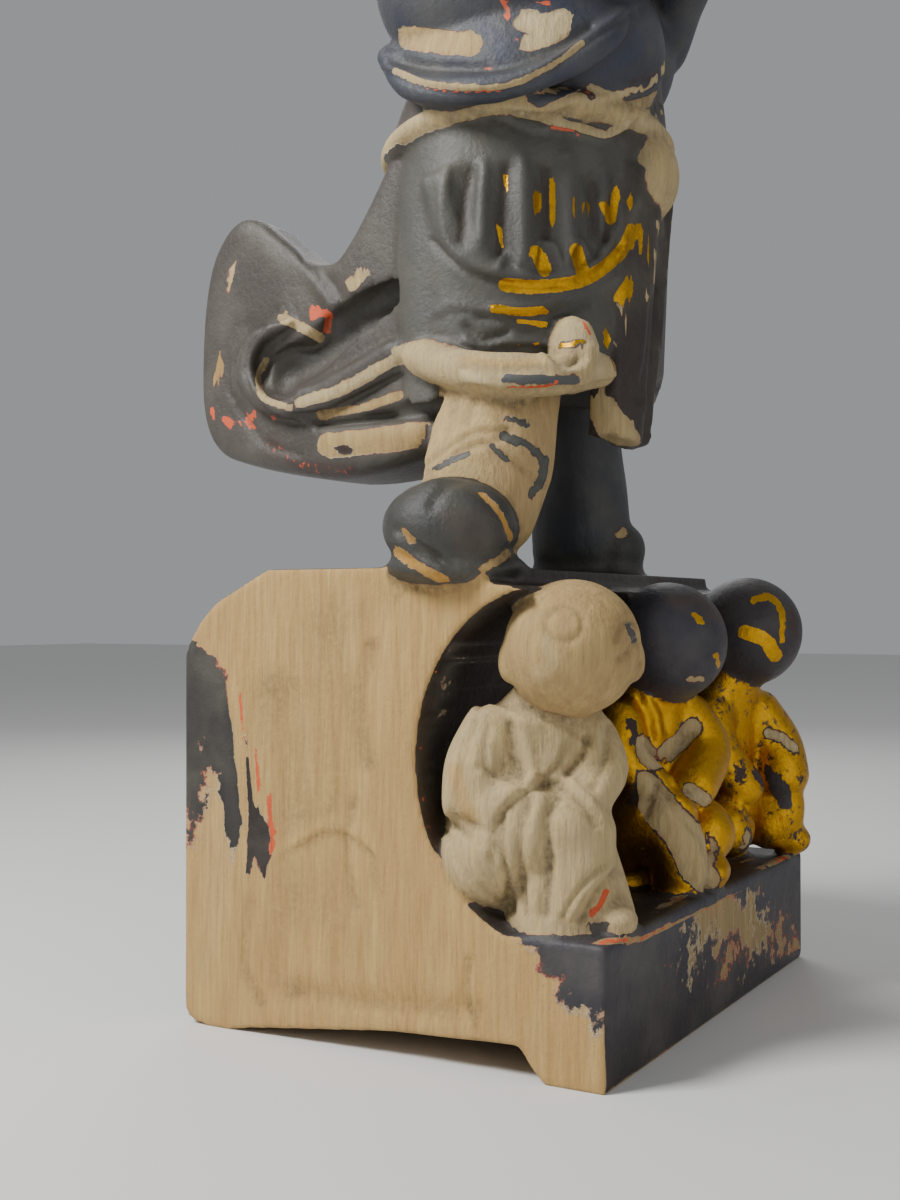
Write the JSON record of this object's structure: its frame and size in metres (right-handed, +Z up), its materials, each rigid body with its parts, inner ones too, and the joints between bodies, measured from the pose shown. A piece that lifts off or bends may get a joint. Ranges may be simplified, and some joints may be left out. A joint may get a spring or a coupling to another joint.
{
  "type": "carved warrior figurine",
  "caption": "Carved wooden warrior astride a block plinth, a flying coat tail curling behind, with small seated figures in a row along the ledge below.",
  "frame": {"origin": "middle of the plinth's underside, at the height of the surface it stands on", "axes": "+Z up; the warrior and the seated figures face -Y; -X is the warrior's right side, where the coat tail flies"},
  "size_m": [0.1433, 0.1403, 0.3358],
  "materials": {
    "lacquered_wood": "bare aged wood with worn black-brown lacquer, vermilion ground and gilding, satin"
  },
  "bodies": {
    "root": {"warrior_on_plinth": "lacquered_wood"}
  },
  "joints": []
}
